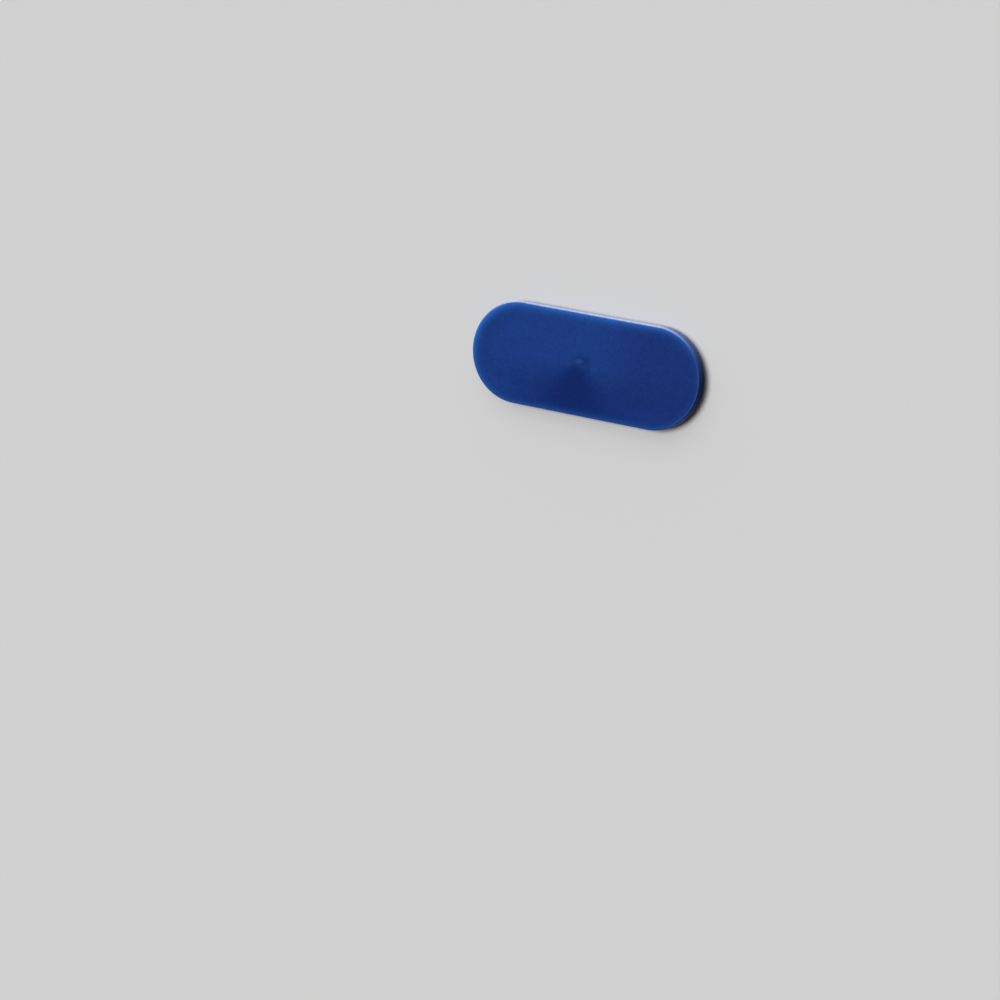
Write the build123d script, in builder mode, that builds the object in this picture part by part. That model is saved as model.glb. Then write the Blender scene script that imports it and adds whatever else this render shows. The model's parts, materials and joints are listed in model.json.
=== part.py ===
from build123d import *
import os
from math import asin, degrees

# Webcam cover slider: a thin round-ended cap that slides sideways along a stick-on base plate.
# Frame: the adhesive face lies on z = 0, +Z points out of the front, +X is the way the cover opens,
# and the closed cover is centred on the origin. Lengths are in millimetres.

# Sliding cover
cover_length = 27.0
cover_width = 11.0
skin_thickness = 0.5
crown_rise = 0.08
edge_radius = 0.15
skirt_wall = 0.9
skirt_lift = 0.1
lip_reach = 0.5
lip_thickness = 0.25
lip_lead_in = 0.12
gate_x = -0.3
gate_y = 0.2
gate_dimple_diameter = 2.0
gate_dimple_depth = 0.06
gate_nub_diameter = 0.9
gate_nub_height = 0.05
gate_nub_round = 0.025

# Base plate
flange_thickness = 0.35
flange_edge_break = 0.12
window_diameter = 6.0
window_flare = 0.25
window_margin = 0.5

# Stop peg under the cover, and the groove that it runs in
peg_diameter = 1.6
peg_edge_break = 0.15
groove_depth = 0.5

# Adhesive pad
pad_thickness = 0.2
pad_inset = 0.15
pad_window_gap = 0.2

# Clearances of the sliding fit
side_gap = 0.1
running_gap = 0.05
peg_end_gap = 0.1

os.makedirs("parts", exist_ok=True)

# Plan of the slider: every outline has round ends about the same two centres
end_radius = cover_width / 2
end_x = cover_length / 2 - end_radius
pocket_radius = end_radius - skirt_wall
flange_radius = pocket_radius - side_gap
foot_radius = flange_radius - lip_reach
window_radius = window_diameter / 2

# Heights, from the adhesive face up
foot_z = pad_thickness
skirt_z = foot_z + skirt_lift
lip_z = skirt_z + lip_thickness
flange_z = lip_z + running_gap
base_top_z = flange_z + flange_thickness
ceiling_z = base_top_z + running_gap
rim_z = ceiling_z + skin_thickness
crown_z = rim_z + crown_rise

# The cover slides until its trailing end is clear of the window, and the groove for its stop peg
# lies midway between the window and the far end of the foot
travel = end_radius + window_radius + window_margin
groove_x = (window_radius + foot_radius) / 2
peg_x = groove_x - travel / 2
groove_width = peg_diameter + 2 * side_gap
peg_z = base_top_z - groove_depth + peg_end_gap


def arc_radius(half_chord, rise):
    return (half_chord**2 + rise**2) / (2 * rise)


# Crown of the front: an arc across the cover, carried along an arc of the cover's length,
# each twice as long as the cover so that the sweep reaches past its outline
cross_radius = arc_radius(end_radius, crown_rise)
long_radius = arc_radius(cover_length / 2, crown_rise)
cross_half_angle = degrees(asin(cover_width / cross_radius))
long_half_angle = degrees(asin(cover_length / long_radius))

# Adhesive pad: die-cut foam tape, inset from the edge of the foot and set back from its window
with BuildPart() as adhesive_pad:
    with BuildSketch():
        SlotCenterToCenter(2 * end_x, 2 * (foot_radius - pad_inset))
        with Locations((-end_x, 0)):
            Circle(window_radius + pad_window_gap, mode=Mode.SUBTRACT)
    extrude(amount=pad_thickness)

# Base plate: a foot with a wider flange on top, which overhangs it as a rail along both sides
with BuildPart() as base_plate:
    with BuildSketch(Plane.XY.offset(foot_z)):
        SlotCenterToCenter(2 * end_x, 2 * foot_radius)
    extrude(amount=flange_z - foot_z)
    with BuildSketch(Plane.XY.offset(flange_z)):
        SlotCenterToCenter(2 * end_x, 2 * flange_radius)
    extrude(amount=flange_thickness)
    chamfer(base_plate.faces().sort_by(Axis.Z)[-1].edges(), flange_edge_break)

    # Camera window, flared towards the front so that it does not narrow the view
    with Locations((-end_x, 0, base_top_z)):
        CounterSinkHole(window_radius, window_radius + window_flare, counter_sink_angle=90)

    # Blind groove for the stop peg, longer than the peg by the travel
    with BuildSketch(Plane.XY.offset(base_top_z)):
        with Locations((groove_x, 0)):
            SlotCenterToCenter(travel, groove_width)
    extrude(amount=-groove_depth, mode=Mode.SUBTRACT)

# Sliding cover: a crowned cap with a skirt round both sides and the leading end
with BuildPart() as sliding_cover:
    with BuildSketch(Plane.XY.offset(skirt_z)):
        SlotOverall(cover_length, cover_width)
    extrude(amount=crown_z - skirt_z)

    # Crowned front, kept where the cap lies under the swept arc
    with BuildLine(Plane.XZ) as crown_spine:
        CenterArc((0, crown_z - long_radius), long_radius, 90 + long_half_angle, -2 * long_half_angle)
    with BuildSketch(Plane(crown_spine.line @ 0, x_dir=(0, 1, 0), z_dir=crown_spine.line % 0)):
        with BuildLine():
            crown_arc = CenterArc(
                (0, -cross_radius), cross_radius, 90 - cross_half_angle, 2 * cross_half_angle
            )
            Polyline(
                crown_arc @ 1,
                ((crown_arc @ 1).X, -2 * crown_z),
                ((crown_arc @ 0).X, -2 * crown_z),
                crown_arc @ 0,
            )
        make_face()
    sweep(path=crown_spine.line, mode=Mode.INTERSECT)
    fillet(sliding_cover.faces().sort_by(Axis.Z)[-1].edges(), edge_radius)

    # T-section channel for the base plate, with a lip along each side to grip under the flange
    with BuildSketch(Plane.YZ.offset(-cover_length)):
        with BuildLine():
            Polyline(
                (0, skirt_z),
                (pocket_radius - lip_reach + lip_lead_in, skirt_z),
                (pocket_radius - lip_reach, skirt_z + lip_lead_in),
                (pocket_radius - lip_reach, lip_z),
                (pocket_radius, lip_z),
                (pocket_radius, ceiling_z),
                (0, ceiling_z),
            )
            mirror(about=Plane.YZ)
        make_face()
    extrude(amount=cover_length + end_x, mode=Mode.SUBTRACT)

    # Round pocket at the leading end
    with BuildSketch(Plane.XY.offset(skirt_z)):
        with BuildLine():
            pocket_arc = CenterArc((end_x, 0), pocket_radius, -90, 180)
            Line(pocket_arc @ 1, pocket_arc @ 0)
        make_face()
    extrude(amount=ceiling_z - skirt_z, mode=Mode.SUBTRACT)

    # No skirt at the trailing end, so that it can pass over the base plate
    with BuildSketch(Plane.XZ):
        with BuildLine():
            Polyline(
                (-cover_length, skirt_z),
                (-end_x + ceiling_z - skirt_z, skirt_z),
                (-end_x, ceiling_z),
                (-cover_length, ceiling_z),
                close=True,
            )
        make_face()
    extrude(amount=cover_width, both=True, mode=Mode.SUBTRACT)

    # Stop peg under the skin
    with BuildSketch(Plane.XY.offset(ceiling_z)):
        with Locations((peg_x, 0)):
            Circle(peg_diameter / 2)
    extrude(amount=peg_z - ceiling_z)
    chamfer(sliding_cover.edges(Select.LAST).filter_by(GeomType.CIRCLE).sort_by(Axis.Z)[0], peg_edge_break)

    # Gate mark near the middle of the front: a shallow dimple with the stub of the gate in it
    dimple_radius = arc_radius(gate_dimple_diameter / 2, gate_dimple_depth)
    dimple_z = crown_z - gate_dimple_depth
    with Locations((gate_x, gate_y, dimple_z + dimple_radius)):
        Sphere(dimple_radius, mode=Mode.SUBTRACT)
    with BuildSketch(Plane.XY.offset(ceiling_z + skin_thickness / 2)):
        with Locations((gate_x, gate_y)):
            Circle(gate_nub_diameter / 2)
    extrude(amount=dimple_z + gate_nub_height - ceiling_z - skin_thickness / 2)
    fillet(sliding_cover.edges(Select.LAST).filter_by(GeomType.CIRCLE).sort_by(Axis.Z)[-1], gate_nub_round)

adhesive_pad.part.label = "adhesive_pad"
base_plate.part.label = "base_plate"
sliding_cover.part.label = "sliding_cover"
export_step(adhesive_pad.part, "parts/adhesive_pad.step")
export_step(base_plate.part, "parts/base_plate.step")
export_step(sliding_cover.part, "parts/sliding_cover.step")
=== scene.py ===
import json
import math

import bmesh
import bpy
import numpy as np
from mathutils import Matrix, Vector


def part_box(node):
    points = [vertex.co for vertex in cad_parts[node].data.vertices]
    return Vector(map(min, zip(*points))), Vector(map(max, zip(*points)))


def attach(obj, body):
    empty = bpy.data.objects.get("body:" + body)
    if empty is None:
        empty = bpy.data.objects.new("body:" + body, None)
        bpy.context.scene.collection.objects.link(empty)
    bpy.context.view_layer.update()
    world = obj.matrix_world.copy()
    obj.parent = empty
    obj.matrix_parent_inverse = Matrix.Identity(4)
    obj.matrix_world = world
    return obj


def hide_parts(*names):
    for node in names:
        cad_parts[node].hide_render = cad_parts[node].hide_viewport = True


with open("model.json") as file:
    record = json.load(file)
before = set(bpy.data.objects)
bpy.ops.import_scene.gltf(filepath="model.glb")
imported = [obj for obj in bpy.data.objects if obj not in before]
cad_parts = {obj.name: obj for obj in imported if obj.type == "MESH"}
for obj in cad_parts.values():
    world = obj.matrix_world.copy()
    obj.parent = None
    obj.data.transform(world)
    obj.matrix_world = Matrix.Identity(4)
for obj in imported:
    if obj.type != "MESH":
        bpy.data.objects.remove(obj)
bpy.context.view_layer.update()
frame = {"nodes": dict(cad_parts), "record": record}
print("frame loaded:", ", ".join(sorted(frame["nodes"])))

mm = 0.001  # sizes here are in millimetres, Blender's are in metres


# a node's lowest and highest corner, in millimetres
def nodeBox(node):
    return [np.array(corner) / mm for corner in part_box(node)]


# sRGB hex to linear colour
def linearColour(hexCode):
    srgb = np.array([int(hexCode[i:i + 2], 16) for i in (1, 3, 5)]) / 255
    linear = np.where(srgb <= 0.04045, srgb / 12.92, ((srgb + 0.055) / 1.055) ** 2.4)
    return (*linear.tolist(), 1.0)


# Adds a node with its settings; an input is either a socket to link or a plain value. Sockets that share
# a name go by number: a Mix of colours has its factor at 0 and its colours at 6 and 7, and a Map Range has
# its value at 0, the range it comes from at 1 and 2, and the range it goes to at 3 and 4.
def addNode(tree, kind, inputs=None, **settings):
    node = tree.nodes.new(kind)
    for name, value in settings.items():
        setattr(node, name, value)
    for key, value in (inputs or {}).items():
        if isinstance(value, bpy.types.NodeSocket):
            tree.links.new(value, node.inputs[key])
        else:
            node.inputs[key].default_value = value
    return node


def newMaterial(name):
    material = bpy.data.materials.new(name)
    material.use_nodes = True
    material.node_tree.nodes.clear()
    return material, material.node_tree


# Stations once round a stadium, anticlockwise from the foot of its +X end. Each is a point of the spine,
# which runs from (-endX, 0) to (endX, 0), and a direction out from it. sideX are the places along a side,
# from -endX to endX.
def stadiumStations(endX, arcSteps, sideX):
    arc = np.linspace(-90, 90, arcSteps + 1)
    inner = sideX[1:-1]
    spine = np.concatenate([np.full(arc.size, endX), inner[::-1], np.full(arc.size, -endX), inner])
    turn = np.concatenate([arc, np.full(inner.size, 90), arc + 180, np.full(inner.size, 270)])
    out = np.stack([np.cos(np.radians(turn)), np.sin(np.radians(turn))], axis=-1)
    return spine, out


# The stadium's points in plan, spine + reach * out, with one reach for all stations or one for each.
def stadiumRing(spine, out, reach):
    return np.reshape(reach, (-1, 1)) * out + np.stack([spine, np.zeros_like(spine)], axis=-1)


# plan points with a height each
def atHeight(plan, z):
    return np.concatenate([plan, np.broadcast_to(z, plan.shape[:-1])[..., None]], axis=-1)


# rays of one unit's length
def unitRays(rays):
    return rays / np.linalg.norm(rays, axis=1, keepdims=True)


# Rings that change from a circle round a centre into an outline, along rays from the centre: the circle for
# a share of 0, the outline for a share of 1.
def fanRings(centre, radius, outline, shares):
    ray = outline - centre
    share = shares[:, None, None]
    return centre + (1 - share) * radius * unitRays(ray) + share * ray


# Rounds a chain of corners, an array (corner, station, 2): close to each inner corner the chain leaves its
# leg by the soft distance, or by a share of a short leg, and turns along a quadratic Bezier curve. A ring
# on each leg a little beyond the curve keeps the leg flat.
def softProfile(corners, soft, steps=4, legShare=0.4, beyond=1.2):
    legs = np.diff(corners, axis=0)
    lengths = np.linalg.norm(legs, axis=2, keepdims=True)
    along = legs / np.maximum(lengths, 1e-9)
    middle = corners[1:-1]
    before, after = (np.minimum(soft, legShare * part) for part in (lengths[:-1], lengths[1:]))
    start, end = middle - before * along[:-1], middle + after * along[1:]
    t = np.linspace(0, 1, steps + 1)[:, None, None, None]
    curve = (1 - t) ** 2 * start + 2 * t * (1 - t) * middle + t ** 2 * end
    holdIn, holdOut = middle - beyond * before * along[:-1], middle + beyond * after * along[1:]
    rings = np.concatenate([holdIn[None], curve, holdOut[None]])
    return rings.transpose(1, 0, 2, 3).reshape(-1, *corners.shape[1:])


# One closed surface from rings of points, an array (ring, station, xyz) in millimetres. Each ring joins the
# next; a pole is a ring of one repeated point, and the points that coincide are merged.
def ringSurface(name, rings, body, wrapRings=False, mergeWithin=1e-4):
    ringCount, stationCount = rings.shape[:2]
    index = np.arange(ringCount * stationCount).reshape(ringCount, stationCount)
    if wrapRings:
        index = np.vstack([index, index[:1]])
    beside = np.roll(index, -1, axis=1)
    quads = np.stack([index[:-1], beside[:-1], beside[1:], index[1:]], axis=-1).reshape(-1, 4)
    mesh = bpy.data.meshes.new(name)
    mesh.from_pydata((rings.reshape(-1, 3) * mm).tolist(), [], quads.tolist())
    work = bmesh.new()
    work.from_mesh(mesh)
    bmesh.ops.remove_doubles(work, verts=work.verts, dist=mergeWithin * mm)
    bmesh.ops.dissolve_degenerate(work, edges=work.edges, dist=mergeWithin * mm)
    bmesh.ops.recalc_face_normals(work, faces=work.faces)
    work.to_mesh(mesh)
    work.free()
    mesh.shade_smooth()
    piece = bpy.data.objects.new(name, mesh)
    bpy.context.scene.collection.objects.link(piece)
    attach(piece, body)
    print(f"{name}: {len(mesh.polygons)} faces")
    return piece


# Sliding cover. Its outline, height and foot come from the frame.
coverShape = dict(
    crownRise=0.08,
    edgeRadius=0.15,
    skinThickness=0.5,
    skirtWall=0.9,
    lipReach=0.5,
    lipThickness=0.25,
    lipLeadIn=0.12,
    lipEndRound=0.12,
    mouldRadius=0.04,
    gate=(-0.3, 0.2),
    dimpleRadius=1.0,
    dimpleDepth=0.05,
    dimpleSoft=0.004,
    nubRadius=0.47,
    nubHeight=0.02,
    nubPower=1.5,  # higher is more pointed
    pegX=-1.0,
    pegRadius=0.8,
    pegEndZ=0.55,
    pegBreak=0.15,
    pegRoot=0.05,
    # from here on, only how the mesh is divided
    arcSteps=72,
    sideSteps=64,
    trailSteps=12,
    lipEndSteps=6,
    edgeSteps=12,
    nubSteps=12,
    bowlSteps=21,
    bowlSpan=1.4,  # how far the circles round the gate go, in dimple radii
    faceSteps=32,
    faceCrowding=1.8,  # above 1, the rings get closer towards the edge
    wallSteps=12,
    wallShare=0.8,  # how far down the wall its own rings go
    ceilingSteps=9,
    ceilingHold=1.0,  # the ceiling's flat beside the skirt
    pegHold=0.6,  # a ring on the peg's flat end, this share of the way in
)


def makeCover(shape):
    low, high = nodeBox("sliding_cover")
    halfLength, halfWidth = min(-low[0], high[0]), high[1]
    endX = halfLength - halfWidth
    skirtZ, crownZ = low[2], high[2]
    ceilingZ = crownZ - shape["crownRise"] - shape["skinThickness"]
    lipZ = skirtZ + shape["lipThickness"]

    # stations are closer together where the lips and the skirt end, and equal places are merged
    trailX = ceilingZ - skirtZ - endX
    sideX = np.concatenate([
        np.linspace(-endX, endX, shape["sideSteps"] + 1),
        np.linspace(-endX, trailX, shape["trailSteps"] + 1),
        np.linspace(endX - 2 * shape["lipEndRound"], endX, shape["lipEndSteps"] + 1),
    ])
    sideX = np.unique(np.round(sideX, 4))
    spine, out = stadiumStations(endX, shape["arcSteps"], sideX)

    def planRing(inset):
        return stadiumRing(spine, out, halfWidth - inset)

    # crown: a paraboloid that falls by the rise to the middle of each end and side
    def crownHeight(plan):
        apart = (plan[..., 0] / halfLength) ** 2 + (plan[..., 1] / halfWidth) ** 2
        return crownZ - shape["crownRise"] * apart

    # front: the lower of the crown and the gate's dimple, a shallow bowl, with a soft edge between them,
    # and the worn stub of the gate, a low dome, on top
    gate = np.array(shape["gate"])
    dimpleZ = crownZ - shape["dimpleDepth"]
    bowl = shape["dimpleDepth"] / shape["dimpleRadius"] ** 2

    def frontHeight(plan):
        soft = shape["dimpleSoft"]
        apart = ((plan - gate) ** 2).sum(axis=-1)
        hollow = dimpleZ + bowl * apart
        dome = np.maximum(0, 1 - apart / shape["nubRadius"] ** 2) ** shape["nubPower"]
        lower = -soft * np.logaddexp(-crownHeight(plan) / soft, -hollow / soft)
        return shape["nubHeight"] * dome + lower

    # edge: an arc of the edge radius from the crown's own slope to the upright wall
    radius = shape["edgeRadius"]
    nearEdge = planRing(radius)
    fall = 2 * shape["crownRise"] * nearEdge / np.array([halfLength, halfWidth]) ** 2
    slope = np.arctan((fall * out).sum(axis=1))
    startPlan = planRing(radius * (1 - np.sin(slope)))
    centreZ = crownHeight(startPlan) - radius * np.cos(slope)
    share = np.linspace(0, 1, shape["edgeSteps"] + 1)[:, None]
    turn = slope + share * (math.pi / 2 - slope)
    edgeInset, edgeZ = radius * (1 - np.sin(turn)), centreZ + radius * np.cos(turn)
    edge = np.stack([atHeight(planRing(inset), z) for inset, z in zip(edgeInset, edgeZ)])
    wallTop = edgeZ[-1]

    # circles round the gate, close together on its stub and dimple, then rings that spread to the edge
    nubR = shape["nubRadius"] * np.sin(np.linspace(0, math.pi / 2, shape["nubSteps"] + 1))
    bowlEnd = shape["bowlSpan"] * shape["dimpleRadius"]
    bowlR = np.concatenate([nubR, np.linspace(shape["nubRadius"], bowlEnd, shape["bowlSteps"] + 1)[1:]])
    bowlPlan = gate + bowlR[:, None, None] * unitRays(startPlan - gate)
    left = 1 - np.linspace(0, 1, shape["faceSteps"] + 1)[1:-1]
    facePlan = fanRings(gate, bowlR[-1], startPlan, 1 - left ** shape["faceCrowding"])
    front = np.concatenate([bowlPlan, facePlan])
    front = atHeight(front, frontHeight(front))

    # skirt: down the wall, under the foot, round the lip and up to the ceiling. The foot rises to the
    # ceiling at the trailing end, and the lips run along the sides only.
    footZ = np.clip(skirtZ + trailX - spine, skirtZ, ceilingZ)
    lipShare = np.clip(np.minimum(endX - spine, lipZ - footZ) / shape["lipEndRound"], 0, 1)
    lip = shape["lipReach"] * lipShare
    leadIn = shape["lipLeadIn"] * np.minimum(lipShare, np.clip((lipZ - footZ) / (lipZ - skirtZ), 0, 1))
    lipTop = np.maximum(lipZ, footZ)
    wall = np.full(spine.shape, shape["skirtWall"])
    zero = np.zeros(spine.shape)
    outside = np.stack([
        atHeight(planRing(zero), wallTop + share * (footZ - wallTop))
        for share in np.linspace(0, shape["wallShare"], shape["wallSteps"] + 1)[1:]
    ])
    corners = np.stack([np.stack(pair, axis=-1) for pair in (
        (zero, wallTop),
        (zero, footZ),
        (wall + lip - leadIn, footZ),
        (wall + lip, footZ + leadIn),
        (wall + lip, lipTop),
        (wall, lipTop),
        (wall, zero + ceilingZ),
        (wall + shape["ceilingHold"], zero + ceilingZ),
    )])
    skirt = np.stack([
        atHeight(planRing(ring[:, 0]), ring[:, 1]) for ring in softProfile(corners, shape["mouldRadius"])
    ])

    # ceiling, with rings from the skirt to the stop peg, and the peg: down its side, over its broken edge
    # and across its flat end
    pegRadius, pegEndZ, pegBreak = shape["pegRadius"], shape["pegEndZ"], shape["pegBreak"]
    pegCentre = np.array([shape["pegX"], 0])
    shares = np.linspace(1, 0, shape["ceilingSteps"] + 1)[1:]
    ceiling = atHeight(fanRings(pegCentre, pegRadius, skirt[-1, :, :2], shares), ceilingZ)
    pegR = pegRadius - np.array([0, 0, pegBreak, shape["pegHold"] * pegRadius, pegRadius])
    pegZ = np.array([ceilingZ - shape["pegRoot"], pegEndZ + pegBreak, pegEndZ, pegEndZ, pegEndZ])
    pegRay = ceiling[-1, :, :2] - pegCentre
    peg = atHeight(pegCentre + (pegR / pegRadius)[:, None, None] * pegRay, pegZ[:, None])

    cover = ringSurface("coverCap", np.concatenate([front, edge, outside, skirt, ceiling, peg]), "cover")
    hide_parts("sliding_cover")
    return cover, dict(endX=endX, halfWidth=halfWidth, wallTop=wallTop.mean())


cover, coverOutline = makeCover(coverShape)


# Adhesive pad: foam tape, die-cut to the foot's outline with a hole for the window
padShape = dict(
    holeGap=0.2,
    edgeBulge=0.03,
    edgeRipple=0.012,
    ripples=((23, 0.0), (61, 1.3)),  # how many go round the pad, and how far each is shifted
    arcSteps=60,
    sideSteps=48,
    edgeSteps=8,
    faceSteps=11,
)


def makePad(shape):
    low, high = nodeBox("adhesive_pad")
    window = next(mount for mount in frame["record"]["mounts"] if mount["name"] == "camera_window")
    centre = np.array(window["pos_m"][:2]) / mm
    holeRadius = window["dims"]["r_mm"] + shape["holeGap"]
    radius, thickness = high[1], high[2] - low[2]
    endX = abs(centre[0])
    spine, out = stadiumStations(endX, shape["arcSteps"], np.linspace(-endX, endX, shape["sideSteps"] + 1))
    outline = stadiumRing(spine, out, radius)
    unit = unitRays(outline - centre)
    hole = centre + holeRadius * unit

    # the cut edges swell a little between the faces, as a parabola, and ripple along their length, as sines
    rise = np.linspace(0, 1, shape["edgeSteps"] + 1)
    swell = shape["edgeBulge"] * 4 * rise * (1 - rise)
    along = np.cumsum(np.linalg.norm(outline - np.roll(outline, 1, axis=0), axis=1))
    turns = 2 * math.pi * along / along[-1]
    waves = sum(np.sin(count * turns + shift) for count, shift in shape["ripples"])
    ripple = shape["edgeRipple"] * waves * np.sin(math.pi * rise)[:, None]
    push = (swell[:, None] + ripple)[..., None]
    outerEdge = outline + push * out
    innerEdge = hole - push * unit
    shares = np.linspace(0, 1, shape["faceSteps"] + 1)[1:-1, None, None]
    face = hole + shares * (outline - hole)

    rings = np.concatenate([
        atHeight(face, low[2]),
        atHeight(outerEdge, (low[2] + rise * thickness)[:, None]),
        atHeight(face[::-1], high[2]),
        atHeight(innerEdge[::-1], (low[2] + rise[::-1] * thickness)[:, None]),
    ])
    pad = ringSurface("foamPad", rings, "base", wrapRings=True)
    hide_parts("adhesive_pad")
    return pad


pad = makePad(padShape)

# Moulded ABS, coloured right through and satin from a finely etched mould, with a pale sheen at low angles.
# Painted light and shade: the rim paler where the light catches it, a band in from the edge lighter and
# darker, the shadowed wall darker, and a painted highlight along the upper edge. The colour is darker in a
# wide fan below the gate. A value named From is the side on which an effect is strongest, in degrees
# anticlockwise from
# +X, and a Power narrows it to that side.
coverFinish = dict(
    left="#19397C",
    right="#173070",
    changeX=(0.7, 7.7),  # where left turns into right
    # the colour is darker in a wide fan below the gate
    fanColour="#0F2561",
    fanTop=(-0.81, 0.06),
    fanInner=18.0,
    fanOuter=100.0,
    fanStart=0.6,
    # painted light along the rim, where the lamp catches the edge, most on the lit side
    rim="#3070CC",
    rimDepth=0.4,
    rimFade=1.3,
    rimDrop=1.0,
    rimLevel=0.54,
    rimSide=0.46,
    rimFrom=141.0,
    rimBoth=0.16,
    rimBothFrom=116.0,
    # painted light and shade in a band in from the outline
    marginInset=1.4,
    marginWidth=0.7,
    marginDark=0.12,
    marginDarkFrom=161.0,
    marginDarkPower=2,
    marginPale=0.25,
    marginPaleFrom=265.0,
    marginPalePower=4,
    # painted shade over the edge and down the wall on its shadowed side
    skirtDark=0.87,
    skirtFrom=-15.0,
    skirtPower=4,
    skirtDrop=0.3,
    skirtInset=0.17,
    skirtWidth=0.1,
    # painted highlight along the upper edge: its colour, how patchy, its side and its width
    wearAndHighlight="#CBCED9",
    highlightShare=(0.85, 1.0),
    highlightGrain=(0.35, 0.65),
    highlightFrom=98.0,
    highlightPower=10,
    highlightInset=0.045,
    highlightWidth=0.0675,
    highlightDrop=0.12,
    # painted highlight in a fine line on the leading edge
    fineRim=0.08,
    fineHighlight=0.03,
    fineFrom=-5.0,
    finePower=4,
    fineInset=0.155,
    fineWidth=0.06,
    # painted reflection on one corner of the wall
    cornerRim=0.4,
    cornerHighlight=0.1,
    cornerFrom=66.0,
    cornerPower=12,
    cornerWidth=0.05,
    gatePale="#4675B6",
    gatePaleShare=0.13,
    gatePaleSpot=(-0.64, 0.32, 0.5, 0.3),  # x, y and half its size along x and y
    darkSpots=((-0.35, 0.33, 1.45, 0.86, 0.84), (0.24, -0.1, 0.6, 0.94, 0.85)),  # the same, and a shade
    spotFade=(0.4, 1.2),
    mottle=1.4,
    mottleShare=0.02,
    grain=0.28,  # the etched grain is about a tenth of this, too fine to show
    grainShare=0.085,
    grainHeight=0.003,
    noiseRange=(0.3, 0.7),
    roughness=0.4,
    roughnessSpread=0.03,
    ior=1.53,
    specular=0.01,
    sheen=1.0,
    sheenRoughness=0.23,
    sheenTint="#F2F4FA",
)


# How the cover's colour follows its edge: three numbers at each point, from its distance inside the
# outline, its drop below the top of the wall and the side it lies on.
# Painted rim light: falls off from the outline, strongest on the side the light comes from, and a little
# stronger along an axis than across it.
# Painted light and shade: a band further in, darker on one side and paler on another, times a painted
# shade on the skirt, which darkens over the edge and down the wall on a third side, where it lies in
# shadow.
# Painted highlight: a line along the rounded edge, strongest on the side that catches the light.
# A painted highlight in a fine line on the leading edge, and a painted reflection on one corner of the
# wall, add a little to the rim light and to the highlight.
def paintEdge(piece, outline, finish):
    endX, halfWidth = outline["endX"], outline["halfWidth"]
    points = np.zeros(3 * len(piece.data.vertices))
    piece.data.vertices.foreach_get("co", points)
    x, y, z = points.reshape(-1, 3).T / mm
    ray = np.stack([x - np.clip(x, -endX, endX), y], axis=-1)
    reach = np.maximum(np.linalg.norm(ray, axis=1), 1e-6)
    inset = halfWidth - reach
    inside = np.maximum(inset, 0)
    drop = np.maximum(outline["wallTop"] - z, 0)

    # 1 for points that face the angle, -1 opposite
    def facing(degrees):
        side = np.array([math.cos(math.radians(degrees)), math.sin(math.radians(degrees))])
        return ray @ side / reach

    # 1 for points that face the angle, 0 opposite
    def leaning(degrees, power):
        return (0.5 + 0.5 * facing(degrees)) ** power

    def bell(distance, width):
        return np.exp(-(distance / width) ** 2)

    # painted light: the rim paler where the lamp catches the edge, most on the lit side
    paintedRimLight = np.exp(-(inside / finish["rimDepth"]) ** finish["rimFade"] - drop / finish["rimDrop"])
    onSide = finish["rimLevel"] + finish["rimSide"] * facing(finish["rimFrom"])
    paintedRimLight = paintedRimLight * (onSide + finish["rimBoth"] * (2 * facing(finish["rimBothFrom"]) ** 2 - 1))

    # painted light and shade: the band in from the outline, and the shadowed skirt darkened
    pale = np.maximum(facing(finish["marginPaleFrom"]), 0) ** finish["marginPalePower"]
    dark = np.maximum(facing(finish["marginDarkFrom"]), 0) ** finish["marginDarkPower"]
    paintedLightAndShade = finish["marginPale"] * pale - finish["marginDark"] * dark
    paintedLightAndShade = 1 + paintedLightAndShade * bell(inset - finish["marginInset"], finish["marginWidth"])
    over = (np.maximum(finish["skirtInset"] - inset, 0) / finish["skirtWidth"]) ** 2
    wallShade = finish["skirtDark"] * leaning(finish["skirtFrom"], finish["skirtPower"])
    paintedLightAndShade = paintedLightAndShade * (1 - wallShade * (1 - np.exp(-drop / finish["skirtDrop"] - over)))

    # painted highlight: a pale line along the rounded edge on the side that catches the light
    wearAndHighlight = bell(inset - finish["highlightInset"], finish["highlightWidth"]) * bell(drop, finish["highlightDrop"])
    wearAndHighlight = wearAndHighlight * leaning(finish["highlightFrom"], finish["highlightPower"])
    # painted highlight on the leading edge, and a painted reflection on one corner of the wall
    fine = bell(inset - finish["fineInset"], finish["fineWidth"])
    fine = fine * leaning(finish["fineFrom"], finish["finePower"])
    corner = bell(inside, finish["cornerWidth"]) * leaning(finish["cornerFrom"], finish["cornerPower"])
    wearAndHighlight = wearAndHighlight + finish["fineHighlight"] * fine + finish["cornerHighlight"] * corner
    paintedRimLight = paintedRimLight + finish["fineRim"] * fine + finish["cornerRim"] * corner

    edgeLook = piece.data.attributes.new("edgeLook", "FLOAT_VECTOR", "POINT")
    edgeLook.data.foreach_set("vector", np.stack([paintedRimLight, paintedLightAndShade, wearAndHighlight], axis=-1).ravel())
    print(f"{piece.name}: edge painted")


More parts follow.
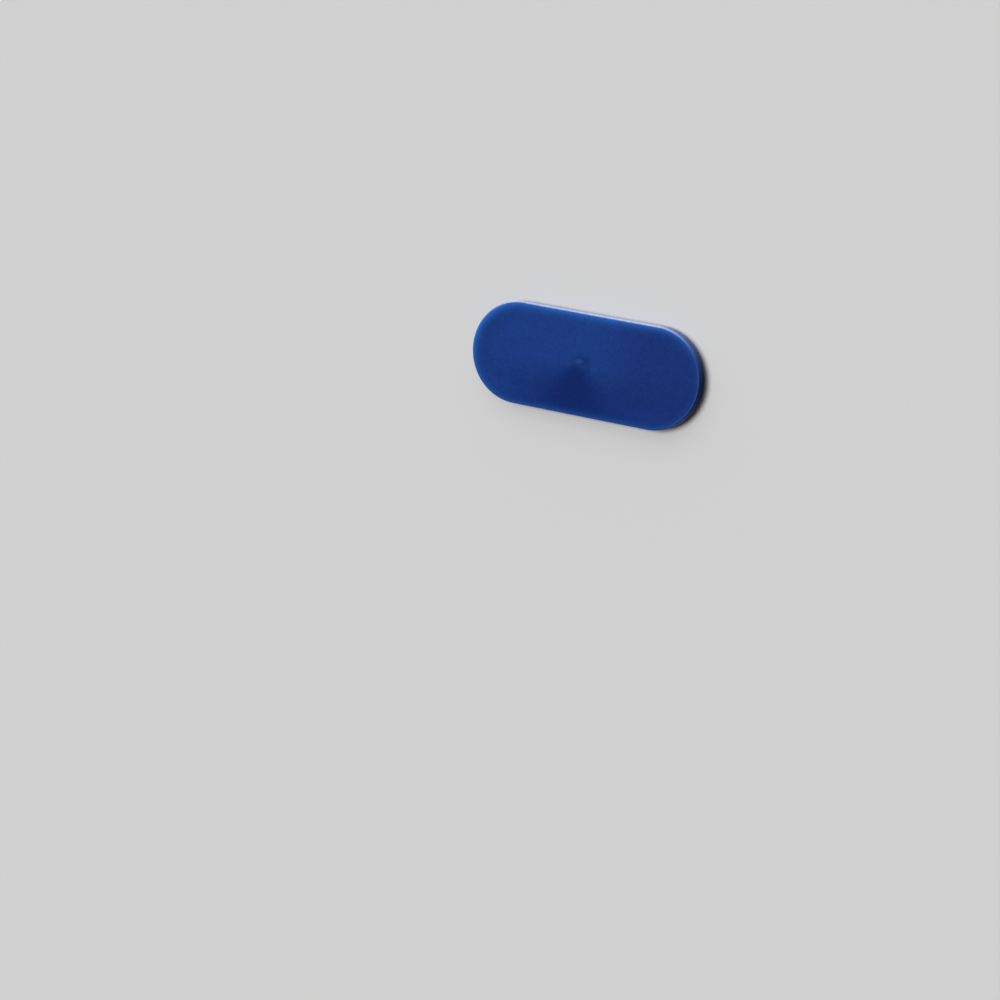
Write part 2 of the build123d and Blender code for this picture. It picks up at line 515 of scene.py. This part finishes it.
def coverAbs(name, finish):
    material, tree = newMaterial(name)
    place = addNode(tree, "ShaderNodeTexCoord").outputs["Object"]
    inMm = addNode(tree, "ShaderNodeMapping", {"Vector": place, "Scale": (1 / mm,) * 3}).outputs[0]
    axes = addNode(tree, "ShaderNodeSeparateXYZ", {0: inMm}).outputs
    mottle = addNode(tree, "ShaderNodeTexNoise", {
        "Vector": inMm, "Scale": 1 / finish["mottle"], "Detail": 3.0,
    })
    grain = addNode(tree, "ShaderNodeTexNoise", {
        "Vector": inMm, "Scale": 1 / finish["grain"], "Detail": 1.0,
    })
    # the edge's three numbers: painted rim light, painted light and shade, and a painted highlight
    edgeLook = addNode(tree, "ShaderNodeAttribute", attribute_name="edgeLook").outputs["Vector"]
    paintedRimLight, paintedLightAndShade, wearAndHighlight = addNode(tree, "ShaderNodeSeparateXYZ", {0: edgeLook}).outputs

    # from left to right the blue turns a little redder and darker
    changeFrom, changeTo = finish["changeX"]
    across = addNode(tree, "ShaderNodeMapRange", {
        0: axes[0], 1: changeFrom, 2: changeTo,
    }, interpolation_type="SMOOTHSTEP")
    side = addNode(tree, "ShaderNodeMix", {
        0: across.outputs[0], 6: linearColour(finish["left"]), 7: linearColour(finish["right"]),
    }, data_type="RGBA")
    # painted light and shade from the edge
    edged = addNode(tree, "ShaderNodeVectorMath", {0: side.outputs[2], 1: paintedLightAndShade}, operation="MULTIPLY")

    # the fan: by the angle about its top from straight down, fading in over the first stretch below the top
    topX, topY = finish["fanTop"]
    aside = addNode(tree, "ShaderNodeMath", {0: axes[0], 1: topX}, operation="SUBTRACT")
    below = addNode(tree, "ShaderNodeMath", {0: topY, 1: axes[1]}, operation="SUBTRACT")
    angle = addNode(tree, "ShaderNodeMath", {
        0: aside.outputs[0], 1: below.outputs[0],
    }, operation="ARCTAN2")
    size = addNode(tree, "ShaderNodeMath", {0: angle.outputs[0]}, operation="ABSOLUTE")
    spread = addNode(tree, "ShaderNodeMapRange", {
        0: size.outputs[0],
        1: math.radians(finish["fanInner"]),
        2: math.radians(finish["fanOuter"]),
        3: 1.0,
        4: 0.0,
    }, interpolation_type="SMOOTHSTEP")
    begun = addNode(tree, "ShaderNodeMapRange", {
        0: below.outputs[0], 1: 0.0, 2: finish["fanStart"],
    }, interpolation_type="SMOOTHSTEP")
    fan = addNode(tree, "ShaderNodeMath", {
        0: spread.outputs[0], 1: begun.outputs[0],
    }, operation="MULTIPLY")
    fanned = addNode(tree, "ShaderNodeMix", {
        0: fan.outputs[0], 6: edged.outputs[0], 7: linearColour(finish["fanColour"]),
    }, data_type="RGBA")

    # the painted rim light, and a painted highlight along the edge paler still, a little less where grain
    # is low
    rimmed = addNode(tree, "ShaderNodeMix", {
        0: paintedRimLight, 6: fanned.outputs[2], 7: linearColour(finish["rim"]),
    }, data_type="RGBA")
    grainFrom, grainTo = finish["highlightGrain"]
    least, most = finish["highlightShare"]
    patchy = addNode(tree, "ShaderNodeMapRange", {
        0: grain.outputs[0], 1: grainFrom, 2: grainTo, 3: least, 4: most,
    })
    paintedHighlight = addNode(tree, "ShaderNodeMath", {0: wearAndHighlight, 1: patchy.outputs[0]}, operation="MULTIPLY")
    colour = addNode(tree, "ShaderNodeMix", {
        0: paintedHighlight.outputs[0], 6: rimmed.outputs[2], 7: linearColour(finish["wearAndHighlight"]),
    }, data_type="RGBA").outputs[2]

    # an oval with a soft edge: one value within it, another beyond
    def spot(oval, within, beyond):
        x, y, halfX, halfY = oval
        fadeFrom, fadeTo = finish["spotFade"]
        away = addNode(tree, "ShaderNodeVectorMath", {0: inMm, 1: (x, y, 0)}, operation="SUBTRACT")
        share = addNode(tree, "ShaderNodeVectorMath", {
            0: away.outputs[0], 1: (1 / halfX, 1 / halfY, 0),
        }, operation="MULTIPLY")
        size = addNode(tree, "ShaderNodeVectorMath", {0: share.outputs[0]}, operation="LENGTH")
        return addNode(tree, "ShaderNodeMapRange", {
            0: size.outputs["Value"], 1: fadeFrom, 2: fadeTo, 3: within, 4: beyond,
        }, interpolation_type="SMOOTHSTEP").outputs[0]

    # darker spots round the gate, and a paler one among them
    for *oval, shade in finish["darkSpots"]:
        colour = addNode(tree, "ShaderNodeVectorMath", {
            0: colour, 1: spot(oval, shade, 1.0),
        }, operation="MULTIPLY").outputs[0]
    paleSpot = spot(finish["gatePaleSpot"], finish["gatePaleShare"], 0.0)
    colour = addNode(tree, "ShaderNodeMix", {
        0: paleSpot, 6: colour, 7: linearColour(finish["gatePale"]),
    }, data_type="RGBA").outputs[2]

    # mottle and grain over all of it
    noiseFrom, noiseTo = finish["noiseRange"]
    for noise, share in ((mottle, finish["mottleShare"]), (grain, finish["grainShare"])):
        uneven = addNode(tree, "ShaderNodeMapRange", {
            0: noise.outputs[0], 1: noiseFrom, 2: noiseTo, 3: 1 - share, 4: 1 + share,
        })
        colour = addNode(tree, "ShaderNodeVectorMath", {
            0: colour, 1: uneven.outputs[0],
        }, operation="MULTIPLY").outputs[0]
    rough = addNode(tree, "ShaderNodeMapRange", {
        0: mottle.outputs[0],
        1: noiseFrom,
        2: noiseTo,
        3: finish["roughness"] - finish["roughnessSpread"],
        4: finish["roughness"] + finish["roughnessSpread"],
    })
    bump = addNode(tree, "ShaderNodeBump", {
        "Height": grain.outputs[0], "Strength": 1.0, "Distance": finish["grainHeight"] * mm,
    })
    shader = addNode(tree, "ShaderNodeBsdfPrincipled", {
        "Base Color": colour,
        "Roughness": rough.outputs[0],
        "IOR": finish["ior"],
        "Specular IOR Level": finish["specular"],
        "Sheen Weight": finish["sheen"],
        "Sheen Roughness": finish["sheenRoughness"],
        "Sheen Tint": linearColour(finish["sheenTint"]),
        "Normal": bump.outputs[0],
    })
    addNode(tree, "ShaderNodeOutputMaterial", {"Surface": shader.outputs[0]})
    return material


paintEdge(cover, coverOutline, coverFinish)
cover.data.materials.append(coverAbs("moulded ABS, satin royal blue", coverFinish))

# Moulded ABS, fine matt: even blue, rubbed a little shinier and paler in lines where the cover slides
baseFinish = dict(
    colour="#123579",
    wearAndHighlight="#24488C",
    lineWidth=0.12,
    lineLength=6.0,
    lineRange=(0.5, 0.75),
    grain=0.25,  # coarser than the real grain, which is too fine to show
    grainHeight=0.004,
    roughness=0.5,
    rubbedRoughness=0.32,
    ior=1.53,
    specular=0.15,
)


def rubbedAbs(name, finish):
    material, tree = newMaterial(name)
    place = addNode(tree, "ShaderNodeTexCoord").outputs["Object"]
    perLength, perWidth = 1 / (finish["lineLength"] * mm), 1 / (finish["lineWidth"] * mm)
    stretched = addNode(tree, "ShaderNodeMapping", {
        "Vector": place, "Scale": (perLength, perWidth, perWidth),
    }).outputs[0]
    lines = addNode(tree, "ShaderNodeTexNoise", {"Vector": stretched, "Scale": 1.0, "Detail": 2.0})
    grain = addNode(tree, "ShaderNodeTexNoise", {
        "Vector": place, "Scale": 1 / (finish["grain"] * mm), "Detail": 1.0,
    })
    lineFrom, lineTo = finish["lineRange"]
    wearAndHighlight = addNode(tree, "ShaderNodeMapRange", {
        0: lines.outputs[0], 1: lineFrom, 2: lineTo,
    }, interpolation_type="SMOOTHSTEP").outputs[0]
    colour = addNode(tree, "ShaderNodeMix", {
        0: wearAndHighlight, 6: linearColour(finish["colour"]), 7: linearColour(finish["wearAndHighlight"]),
    }, data_type="RGBA")
    rough = addNode(tree, "ShaderNodeMapRange", {
        0: wearAndHighlight, 3: finish["roughness"], 4: finish["rubbedRoughness"],
    })
    bump = addNode(tree, "ShaderNodeBump", {
        "Height": grain.outputs[0], "Strength": 1.0, "Distance": finish["grainHeight"] * mm,
    })
    shader = addNode(tree, "ShaderNodeBsdfPrincipled", {
        "Base Color": colour.outputs[2],
        "Roughness": rough.outputs[0],
        "IOR": finish["ior"],
        "Specular IOR Level": finish["specular"],
        "Normal": bump.outputs[0],
    })
    addNode(tree, "ShaderNodeOutputMaterial", {"Surface": shader.outputs[0]})
    return material


basePlate = frame["nodes"]["base_plate"]
basePlate.data.materials.clear()
basePlate.data.materials.append(rubbedAbs("moulded ABS, fine matt royal blue", baseFinish))

# Acrylic foam tape: matt off-white, with small closed cells that show as pits on its cut edges. The pits
# are painted a little darker, painted shade in their hollows.
foamFinish = dict(
    colour="#DCDDD8",
    pitShade="#C6C7C0",
    cell=0.12,
    cellDepth=0.02,
    roughness=0.85,
    ior=1.48,
)


def foamTape(name, finish):
    material, tree = newMaterial(name)
    place = addNode(tree, "ShaderNodeTexCoord").outputs["Object"]
    cells = addNode(tree, "ShaderNodeTexVoronoi", {"Vector": place, "Scale": 1 / (finish["cell"] * mm)})
    # painted shade: the pits darker in their hollows
    colour = addNode(tree, "ShaderNodeMix", {
        0: cells.outputs["Distance"], 6: linearColour(finish["pitShade"]), 7: linearColour(finish["colour"]),
    }, data_type="RGBA")
    bump = addNode(tree, "ShaderNodeBump", {
        "Height": cells.outputs["Distance"], "Strength": 1.0, "Distance": finish["cellDepth"] * mm,
    })
    shader = addNode(tree, "ShaderNodeBsdfPrincipled", {
        "Base Color": colour.outputs[2],
        "Roughness": finish["roughness"],
        "IOR": finish["ior"],
        "Normal": bump.outputs[0],
    })
    addNode(tree, "ShaderNodeOutputMaterial", {"Surface": shader.outputs[0]})
    return material


pad.data.materials.append(foamTape("acrylic foam tape, off-white", foamFinish))
print("materials made")

# Plain floor, light and camera
stageValues = dict(
    floorColour="#CDCDCD",
    floorRoughness=0.9,
    floorSpecular=0.2,
    floorHalf=3.0,
    skyFrom=(-0.35, 0.9, 0.26),
    skySpread=(0.35, 0.95),
    skyPale=1.1,
    skyDim=0.06,
    keyFrom=(-0.27, 0.12, 0.95),
    keyStrength=2.5,
    keyAngle=28.0,
)
cameraPlace = dict(
    lens=106.2,
    aim=(-8.045, -16.188, 1.516),
    turn=27.14,
    tilt=11.37,
    roll=6.58,
    distance=318.28,
    clip=(0.01, 20.0),
)


def makeStage(values):
    half = values["floorHalf"]
    corners = [(-half, -half, 0), (half, -half, 0), (half, half, 0), (-half, half, 0)]
    mesh = bpy.data.meshes.new("floor")
    mesh.from_pydata(corners, [], [(0, 1, 2, 3)])
    floor = bpy.data.objects.new("floor", mesh)
    bpy.context.scene.collection.objects.link(floor)
    material, tree = newMaterial("matt floor")
    shader = addNode(tree, "ShaderNodeBsdfPrincipled", {
        "Base Color": linearColour(values["floorColour"]),
        "Roughness": values["floorRoughness"],
        "Specular IOR Level": values["floorSpecular"],
    })
    addNode(tree, "ShaderNodeOutputMaterial", {"Surface": shader.outputs[0]})
    mesh.materials.append(material)

    key = bpy.data.objects.new("key", bpy.data.lights.new("key", "SUN"))
    key.data.energy = values["keyStrength"]
    key.data.angle = math.radians(values["keyAngle"])
    key.rotation_mode = "QUATERNION"
    key.rotation_quaternion = Vector(values["keyFrom"]).to_track_quat("Z", "Y")
    bpy.context.scene.collection.objects.link(key)

    # sky: pale low down on the +Y side, dim elsewhere
    world = bpy.data.worlds.new("studio")
    world.use_nodes = True
    tree = world.node_tree
    tree.nodes.clear()
    direction = addNode(tree, "ShaderNodeTexCoord").outputs["Generated"]
    towards = addNode(tree, "ShaderNodeVectorMath", {
        0: direction, 1: Vector(values["skyFrom"]).normalized(),
    }, operation="DOT_PRODUCT").outputs["Value"]
    spreadFrom, spreadTo = values["skySpread"]
    level = addNode(tree, "ShaderNodeMapRange", {
        0: towards, 1: spreadFrom, 2: spreadTo, 3: values["skyDim"], 4: values["skyPale"],
    }, interpolation_type="SMOOTHSTEP")
    sky = addNode(tree, "ShaderNodeBackground", {"Color": (1, 1, 1, 1), "Strength": level.outputs[0]})
    addNode(tree, "ShaderNodeOutputWorld", {"Surface": sky.outputs[0]})
    bpy.context.scene.world = world


# The camera looks at its aim, from the right of the front's normal by turn and above it by tilt, with +Y
# upwards, and then rolls.
def makeCamera(place):
    turn, tilt = math.radians(place["turn"]), math.radians(place["tilt"])
    back = Vector((math.sin(turn) * math.cos(tilt), math.sin(tilt), math.cos(turn) * math.cos(tilt)))
    right = Vector((0, 1, 0)).cross(back).normalized()
    axes = Matrix((right, back.cross(right), back)).transposed()
    axes = axes @ Matrix.Rotation(math.radians(place["roll"]), 3, "Z")
    camera = bpy.data.objects.new("camera", bpy.data.cameras.new("camera"))
    camera.data.lens = place["lens"]
    camera.data.clip_start, camera.data.clip_end = place["clip"]
    position = (Vector(place["aim"]) + back * place["distance"]) * mm
    camera.matrix_world = Matrix.Translation(position) @ axes.to_4x4()
    bpy.context.scene.collection.objects.link(camera)
    bpy.context.scene.camera = camera


makeStage(stageValues)
makeCamera(cameraPlace)
bpy.context.scene.view_settings.view_transform = "Standard"
print("floor, light and camera set")
